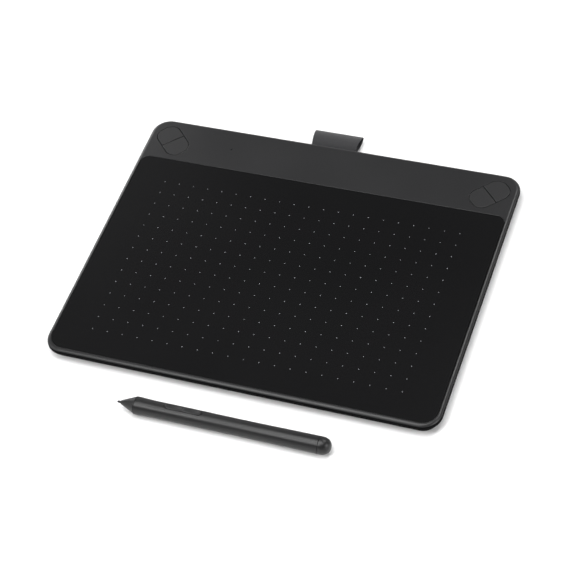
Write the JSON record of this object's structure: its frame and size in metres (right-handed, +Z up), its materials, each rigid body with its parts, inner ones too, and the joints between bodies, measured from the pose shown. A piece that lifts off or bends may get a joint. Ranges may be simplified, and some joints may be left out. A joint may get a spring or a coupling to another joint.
{
  "type": "pen drawing tablet",
  "caption": "Thin flat pen drawing tablet with corner press keys, a textile pen loop on its back edge and a cordless pen lying in front.",
  "frame": {"origin": "centre of the set's footprint on the desk: the middle of the box round the tablet and the pen, at the height of the desk", "axes": "+X to the right along the long edge, +Y from the user towards the back edge with the keys, +Z up out of the drawing face"},
  "size_m": [0.275, 0.2653, 0.0125],
  "materials": {
    "case_plastic": "fine moulded texture",
    "base_plastic": "fine moulded texture",
    "sheet_film": "paper-like textured film",
    "key_plastic": "satin moulded",
    "pen_plastic": "satin moulded",
    "nib_plastic": "smooth moulded",
    "loop_textile": "woven tape",
    "foot_rubber": "matt",
    "board_laminate": "solder mask over glass laminate",
    "flex_film": "polyimide film",
    "sheet_steel": "rolled",
    "plated_steel": "nickel plated",
    "switch_plastic": "glass-filled moulding",
    "clear_plastic": "clear moulded",
    "ferrite": "sintered",
    "copper_wire": "enamelled wire"
  },
  "bodies": {
    "tablet": {"top_case": "case_plastic", "drawing_sheet": "sheet_film", "bottom_case": "base_plastic", "front_left_foot": "foot_rubber", "front_right_foot": "foot_rubber", "back_left_foot": "foot_rubber", "back_right_foot": "foot_rubber", "front_left_case_screw": "sheet_steel", "front_right_case_screw": "sheet_steel", "back_left_case_screw": "sheet_steel", "back_right_case_screw": "sheet_steel", "front_middle_case_screw": "sheet_steel", "left_outer_key_switch": "switch_plastic", "left_inner_key_switch": "switch_plastic", "right_inner_key_switch": "switch_plastic", "right_outer_key_switch": "switch_plastic", "sensor_board": "board_laminate", "shield_plate": "sheet_steel", "main_board": "board_laminate", "left_key_board": "board_laminate", "controller_shield": "plated_steel", "key_ribbon_cable": "flex_film", "sensor_flex_cable": "flex_film", "status_led": "clear_plastic", "status_light_pipe": "clear_plastic", "usb_shell": "plated_steel", "usb_tongue": "switch_plastic", "touch_switch_body": "switch_plastic", "accessory_connector": "switch_plastic", "nib_holder": "foot_rubber", "spare_nib_1": "nib_plastic", "spare_nib_2": "nib_plastic", "spare_nib_3": "nib_plastic", "nib_puller_ring": "plated_steel", "pen_loop_tail": "loop_textile", "loop_clamp_bar": "case_plastic", "loop_clamp_screw_left": "sheet_steel", "loop_clamp_screw_right": "sheet_steel"},
    "left_outer_key": {"left_outer_key": "key_plastic"},
    "left_inner_key": {"left_inner_key": "key_plastic"},
    "right_inner_key": {"right_inner_key": "key_plastic"},
    "right_outer_key": {"right_outer_key": "key_plastic"},
    "touch_knob": {"touch_switch_knob": "key_plastic"},
    "bay_cover": {"bay_cover": "base_plastic"},
    "loop": {"pen_loop": "loop_textile"},
    "pen": {"pen_cone": "pen_plastic", "pen_barrel": "pen_plastic", "pen_end_cap": "pen_plastic", "pen_ferrite_core": "ferrite", "pen_coil": "copper_wire", "pen_pressure_sensor": "switch_plastic", "pen_inner_frame": "base_plastic", "pen_board": "board_laminate", "pen_front_tact_switch": "switch_plastic", "pen_back_tact_switch": "switch_plastic"},
    "nib": {"pen_nib": "nib_plastic"},
    "side_switch": {"pen_side_switch": "pen_plastic"}
  },
  "joints": [
    {"name": "left_outer_key_press", "type": "slide", "parent": "tablet", "child": "left_outer_key", "axis": [0, 0, -1], "range_m": [0, 0.0005], "stiffness_N_per_m": 400},
    {"name": "left_inner_key_press", "type": "slide", "parent": "tablet", "child": "left_inner_key", "axis": [0, 0, -1], "range_m": [0, 0.0005], "stiffness_N_per_m": 400},
    {"name": "right_inner_key_press", "type": "slide", "parent": "tablet", "child": "right_inner_key", "axis": [0, 0, -1], "range_m": [0, 0.0005], "stiffness_N_per_m": 400},
    {"name": "right_outer_key_press", "type": "slide", "parent": "tablet", "child": "right_outer_key", "axis": [0, 0, -1], "range_m": [0, 0.0005], "stiffness_N_per_m": 400},
    {"name": "touch_switch_slide", "type": "slide", "parent": "tablet", "child": "touch_knob", "axis": [1, 0, 0], "range_m": [0, 0.0025]},
    {"name": "bay_cover_slide", "type": "slide", "parent": "tablet", "child": "bay_cover", "axis": [0, 1, 0], "range_m": [0, 0.008]},
    {"name": "loop_fold", "type": "hinge", "parent": "tablet", "child": "loop", "pos_m": [-0.0025, 0.11715, 0.0057], "axis": [1, 0, 0], "range_deg": [-8, 55], "stiffness_Nm_per_rad": 0.03},
    {"name": "pen_lift", "type": "slide", "parent": "tablet", "child": "pen", "axis": [0, 0, 1], "range_m": [0, 0.1]},
    {"name": "nib_press", "type": "slide", "parent": "pen", "child": "nib", "axis": [1, 0, 0], "range_m": [0, 0.0008], "stiffness_N_per_m": 500},
    {"name": "side_switch_rock", "type": "hinge", "parent": "pen", "child": "side_switch", "pos_m": [-0.0246, -0.12568, 0.01015], "axis": [0, 0.9759, -0.2182], "range_deg": [-2.5, 2.5], "stiffness_Nm_per_rad": 0.02}
  ]
}
